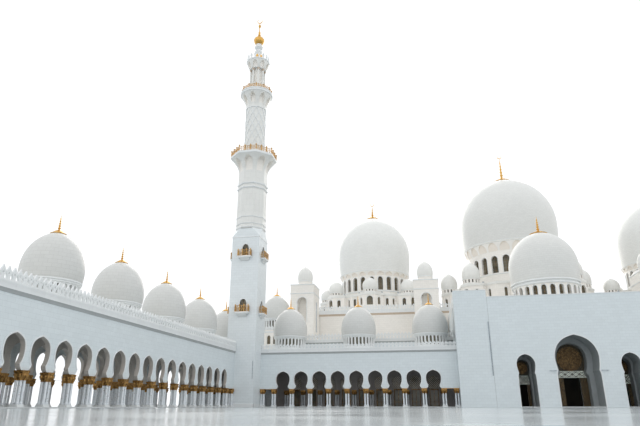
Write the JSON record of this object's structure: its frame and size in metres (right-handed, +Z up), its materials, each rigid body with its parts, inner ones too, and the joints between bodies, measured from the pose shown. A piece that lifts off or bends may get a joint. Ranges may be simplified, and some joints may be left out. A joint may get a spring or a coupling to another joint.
{
  "type": "domed courtyard mosque, scale model at 1:10",
  "caption": "White marble mosque with onion domes on windowed drums, arched courtyard arcades, a tall portal and slender tiered minarets, as a scale model.",
  "frame": {"origin": "on the ground at the portal's axis, in the front plane of the front arcades, on the underside of the portal floor", "axes": "+Z up, +Y from the courtyard into the building, +X to the right along the front seen from the courtyard"},
  "size_m": [16.5028, 17.64, 10.7056],
  "materials": {
    "marble": "honed white marble cladding",
    "warm_marble": "honed warm white marble cladding",
    "dome_shell": "smooth white marble courses",
    "gilded_metal": "gilded, softly polished",
    "floor_stone": "honed pale grey stone"
  },
  "bodies": {
    "root": {"left_front_arcade_wall": "marble", "left_front_arcade_columns": "marble", "left_arcade_back_wall": "marble", "left_front_arcade_roof": "dome_shell", "left_block_roof_and_side": "warm_marble", "right_front_arcade_wall": "marble", "right_front_arcade_columns": "marble", "right_arcade_back_wall": "marble", "right_front_arcade_roof": "dome_shell", "right_block_roof_and_side": "warm_marble", "side_arcade_inner_wall": "marble", "side_arcade_middle_wall": "marble", "side_arcade_outer_wall": "marble", "side_arcade_end_wall": "marble", "side_arcade_corner_wall": "marble", "side_arcade_columns": "marble", "side_arcade_roof": "dome_shell", "left_minaret_square_shaft": "marble", "left_minaret_upper_shaft": "marble", "left_minaret_finial": "gilded_metal", "right_minaret_square_shaft": "marble", "right_minaret_upper_shaft": "marble", "right_minaret_finial": "gilded_metal", "portal_front_wall": "marble", "portal_inner_wall": "floor_stone", "portal_roof_and_sides": "marble", "entry_drum": "warm_marble", "entry_dome": "dome_shell", "entry_finial": "gilded_metal", "hall_and_portal_floor": "floor_stone", "hall_front_wall": "warm_marble", "hall_side_and_back_walls": "warm_marble", "hall_roof": "marble", "main_podium": "warm_marble", "main_drum": "warm_marble", "main_dome": "dome_shell", "main_finial": "gilded_metal", "left_podium": "warm_marble", "left_drum": "warm_marble", "left_dome": "dome_shell", "left_finial": "gilded_metal", "right_podium": "warm_marble", "right_drum": "warm_marble", "right_dome": "dome_shell", "right_finial": "gilded_metal", "left_outer_turret": "warm_marble", "left_inner_turret": "warm_marble", "left_flank_block": "warm_marble", "right_outer_turret": "warm_marble", "right_inner_turret": "warm_marble", "right_flank_block": "warm_marble"}
  },
  "joints": []
}
